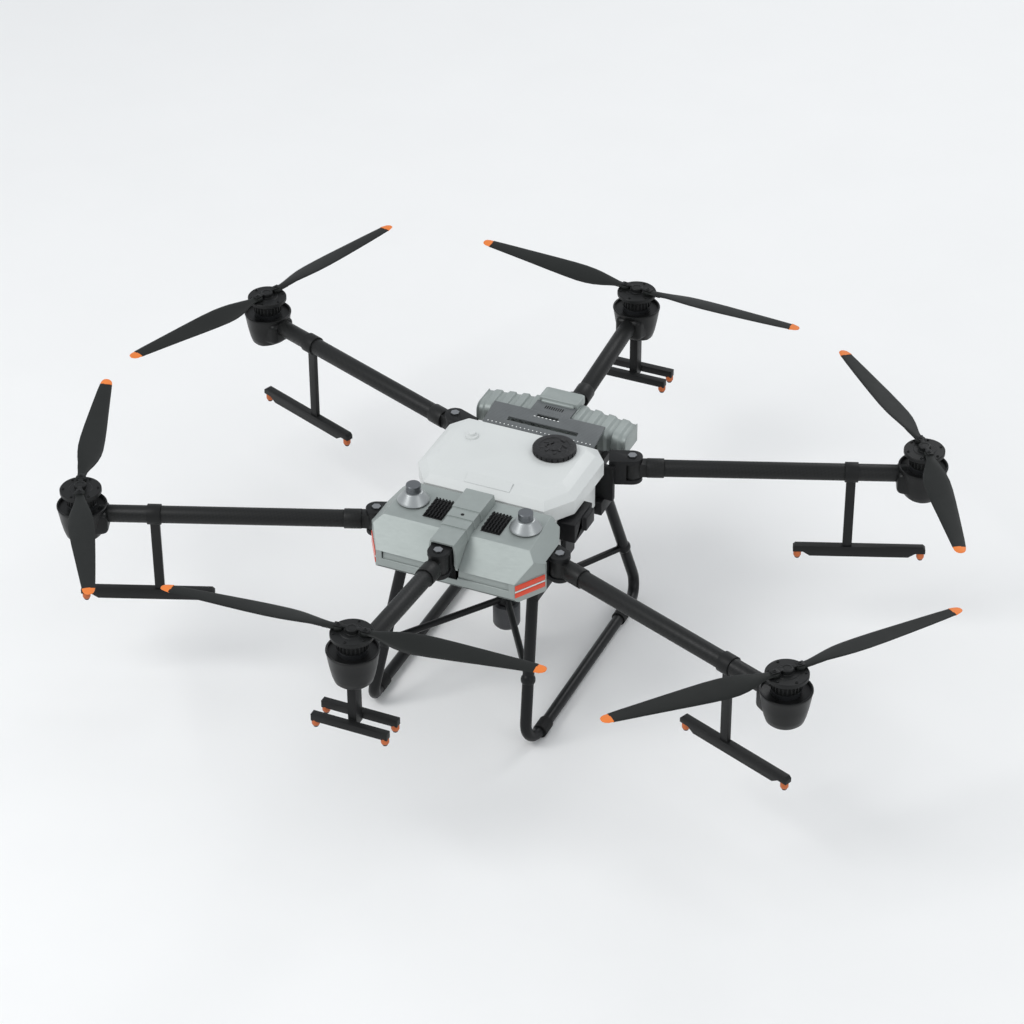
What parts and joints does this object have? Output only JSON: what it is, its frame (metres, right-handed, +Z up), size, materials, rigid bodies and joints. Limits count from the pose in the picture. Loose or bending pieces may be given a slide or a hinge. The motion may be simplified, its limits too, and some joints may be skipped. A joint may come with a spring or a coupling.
{
  "type": "agricultural spray drone",
  "caption": "Multi-rotor crop spraying drone with folding arms and blades, a liquid tank, hanging spray booms, a lift-out battery and a tube landing gear.",
  "frame": {"origin": "on the ground under the middle of the airframe, on its centre line and midway between the side rotors' two pairs", "axes": "+Z up, -Y towards the nose, +X towards the drone's left side"},
  "size_m": [2.3755, 1.9066, 0.6768],
  "materials": {
    "frame_black": "satin moulded composite",
    "steel": "machined",
    "silver_shell": "satin silver-grey paint",
    "vent_black": "matt",
    "turret_silver": "satin turned",
    "turret_cap": "satin dark grey",
    "signal_red": "gloss",
    "signal_white": "gloss",
    "tank_white": "satin blow-moulded",
    "cap_black": "grained",
    "plate_grey": "fine woven grain",
    "gear_black": "gloss black",
    "pad_rubber": "matt",
    "radar_grey": "satin",
    "pump_black": "satin",
    "module_grey": "satin",
    "carbon_tube": "clear-coated carbon fibre",
    "pod_black": "gloss moulded",
    "hub_black": "satin anodised",
    "blade_black": "matt moulded composite",
    "tip_orange": "satin paint",
    "boom_black": "satin moulded",
    "nozzle_rust": "satin moulded"
  },
  "bodies": {
    "airframe": {"center_frame": "frame_black", "arm_sockets": "frame_black", "fold_pins": "steel", "front_cover": "silver_shell", "front_tray": "silver_shell", "bridge_cover": "silver_shell", "intake_grilles": "vent_black", "antenna_turrets": "turret_silver", "light_bars": "signal_red", "spray_tank": "tank_white", "vent_valve": "tank_white", "battery_bay": "frame_black", "connector_plate": "plate_grey", "left_skid": "gear_black", "right_skid": "gear_black", "gear_mounts": "frame_black", "gear_sleeves": "pad_rubber", "cross_braces": "gear_black", "radar_sensor": "radar_grey", "pump_unit": "pump_black", "flight_controller": "module_grey"},
    "filler_cap": {"filler_cap": "cap_black"},
    "battery": {"battery_pack": "silver_shell", "battery_tab": "plate_grey"},
    "front_arm": {"front_arm": "carbon_tube", "front_motor_pod": "pod_black", "front_boom": "boom_black"},
    "front_rotor": {"front_rotor": "hub_black"},
    "front_blade_1": {"front_blade_1": "blade_black"},
    "front_blade_2": {"front_blade_2": "blade_black"},
    "rear_arm": {"rear_arm": "carbon_tube", "rear_motor_pod": "pod_black", "rear_boom": "boom_black"},
    "rear_rotor": {"rear_rotor": "hub_black"},
    "rear_blade_1": {"rear_blade_1": "blade_black"},
    "rear_blade_2": {"rear_blade_2": "blade_black"},
    "front_left_arm": {"front_left_arm": "carbon_tube", "front_left_motor_pod": "pod_black", "front_left_boom": "boom_black"},
    "front_left_rotor": {"front_left_rotor": "hub_black"},
    "front_left_blade_1": {"front_left_blade_1": "blade_black"},
    "front_left_blade_2": {"front_left_blade_2": "blade_black"},
    "rear_left_arm": {"rear_left_arm": "carbon_tube", "rear_left_motor_pod": "pod_black", "rear_left_boom": "boom_black"},
    "rear_left_rotor": {"rear_left_rotor": "hub_black"},
    "rear_left_blade_1": {"rear_left_blade_1": "blade_black"},
    "rear_left_blade_2": {"rear_left_blade_2": "blade_black"},
    "front_right_arm": {"front_right_arm": "carbon_tube", "front_right_motor_pod": "pod_black", "front_right_boom": "boom_black"},
    "front_right_rotor": {"front_right_rotor": "hub_black"},
    "front_right_blade_1": {"front_right_blade_1": "blade_black"},
    "front_right_blade_2": {"front_right_blade_2": "blade_black"},
    "rear_right_arm": {"rear_right_arm": "carbon_tube", "rear_right_motor_pod": "pod_black", "rear_right_boom": "boom_black"},
    "rear_right_rotor": {"rear_right_rotor": "hub_black"},
    "rear_right_blade_1": {"rear_right_blade_1": "blade_black"},
    "rear_right_blade_2": {"rear_right_blade_2": "blade_black"}
  },
  "joints": [
    {"name": "filler_cap_turn", "type": "hinge", "parent": "airframe", "child": "filler_cap", "pos_m": [0.098, 0.084, 0.606], "axis": [0, 0, 1], "range_deg": [0, 90]},
    {"name": "battery_lift", "type": "slide", "parent": "airframe", "child": "battery", "axis": [0, 0, 1], "range_m": [0, 0.2]},
    {"name": "front_arm_fold", "type": "hinge", "parent": "airframe", "child": "front_arm", "pos_m": [0, -0.405, 0.54576], "axis": [0, 0, 1], "range_deg": [0, 75]},
    {"name": "front_rotor_spin", "type": "hinge", "parent": "front_arm", "child": "front_rotor", "pos_m": [0, -0.876, 0.667], "axis": [0, 0, 1], "continuous": true},
    {"name": "front_blade_1_fold", "type": "hinge", "parent": "front_rotor", "child": "front_blade_1", "pos_m": [-0.03392, -0.87837, 0.663], "axis": [0, 0, 1], "range_deg": [0, 80]},
    {"name": "front_blade_2_fold", "type": "hinge", "parent": "front_rotor", "child": "front_blade_2", "pos_m": [0.03392, -0.87363, 0.663], "axis": [0, 0, 1], "range_deg": [-80, 0]},
    {"name": "rear_arm_fold", "type": "hinge", "parent": "airframe", "child": "rear_arm", "pos_m": [0, 0.44, 0.49217], "axis": [0, 0, 1], "range_deg": [0, 75]},
    {"name": "rear_rotor_spin", "type": "hinge", "parent": "rear_arm", "child": "rear_rotor", "pos_m": [0, 0.876, 0.623], "axis": [0, 0, 1], "continuous": true},
    {"name": "rear_blade_1_fold", "type": "hinge", "parent": "rear_rotor", "child": "rear_blade_1", "pos_m": [-0.03387, 0.87896, 0.619], "axis": [0, 0, 1], "range_deg": [0, 80]},
    {"name": "rear_blade_2_fold", "type": "hinge", "parent": "rear_rotor", "child": "rear_blade_2", "pos_m": [0.03387, 0.87304, 0.619], "axis": [0, 0, 1], "range_deg": [-80, 0]},
    {"name": "front_left_arm_fold", "type": "hinge", "parent": "airframe", "child": "front_left_arm", "pos_m": [0.25084, -0.23596, 0.497], "axis": [0, 0, 1], "range_deg": [-40, 0]},
    {"name": "front_left_rotor_spin", "type": "hinge", "parent": "front_left_arm", "child": "front_left_rotor", "pos_m": [0.944, -0.509, 0.582], "axis": [0, 0, 1], "continuous": true},
    {"name": "front_left_blade_1_fold", "type": "hinge", "parent": "front_left_rotor", "child": "front_left_blade_1", "pos_m": [0.96586, -0.48295, 0.578], "axis": [0, 0, 1], "range_deg": [0, 80]},
    {"name": "front_left_blade_2_fold", "type": "hinge", "parent": "front_left_rotor", "child": "front_left_blade_2", "pos_m": [0.92214, -0.53505, 0.578], "axis": [0, 0, 1], "range_deg": [-80, 0]},
    {"name": "rear_left_arm_fold", "type": "hinge", "parent": "airframe", "child": "rear_left_arm", "pos_m": [0.25084, 0.23596, 0.497], "axis": [0, 0, 1], "range_deg": [0, 40]},
    {"name": "rear_left_rotor_spin", "type": "hinge", "parent": "rear_left_arm", "child": "rear_left_rotor", "pos_m": [0.944, 0.509, 0.582], "axis": [0, 0, 1], "continuous": true},
    {"name": "rear_left_blade_1_fold", "type": "hinge", "parent": "rear_left_rotor", "child": "rear_left_blade_1", "pos_m": [0.92354, 0.53615, 0.578], "axis": [0, 0, 1], "range_deg": [0, 80]},
    {"name": "rear_left_blade_2_fold", "type": "hinge", "parent": "rear_left_rotor", "child": "rear_left_blade_2", "pos_m": [0.96446, 0.48185, 0.578], "axis": [0, 0, 1], "range_deg": [-80, 0]},
    {"name": "front_right_arm_fold", "type": "hinge", "parent": "airframe", "child": "front_right_arm", "pos_m": [-0.25084, -0.23596, 0.497], "axis": [0, 0, 1], "range_deg": [0, 40]},
    {"name": "front_right_rotor_spin", "type": "hinge", "parent": "front_right_arm", "child": "front_right_rotor", "pos_m": [-0.944, -0.509, 0.582], "axis": [0, 0, 1], "continuous": true},
    {"name": "front_right_blade_1_fold", "type": "hinge", "parent": "front_right_rotor", "child": "front_right_blade_1", "pos_m": [-0.95944, -0.47871, 0.578], "axis": [0, 0, 1], "range_deg": [0, 80]},
    {"name": "front_right_blade_2_fold", "type": "hinge", "parent": "front_right_rotor", "child": "front_right_blade_2", "pos_m": [-0.92856, -0.53929, 0.578], "axis": [0, 0, 1], "range_deg": [-80, 0]},
    {"name": "rear_right_arm_fold", "type": "hinge", "parent": "airframe", "child": "rear_right_arm", "pos_m": [-0.25084, 0.23596, 0.497], "axis": [0, 0, 1], "range_deg": [-40, 0]},
    {"name": "rear_right_rotor_spin", "type": "hinge", "parent": "rear_right_arm", "child": "rear_right_rotor", "pos_m": [-0.944, 0.509, 0.582], "axis": [0, 0, 1], "continuous": true},
    {"name": "rear_right_blade_1_fold", "type": "hinge", "parent": "rear_right_rotor", "child": "rear_right_blade_1", "pos_m": [-0.93237, 0.54095, 0.578], "axis": [0, 0, 1], "range_deg": [0, 80]},
    {"name": "rear_right_blade_2_fold", "type": "hinge", "parent": "rear_right_rotor", "child": "rear_right_blade_2", "pos_m": [-0.95563, 0.47705, 0.578], "axis": [0, 0, 1], "range_deg": [-80, 0]}
  ]
}
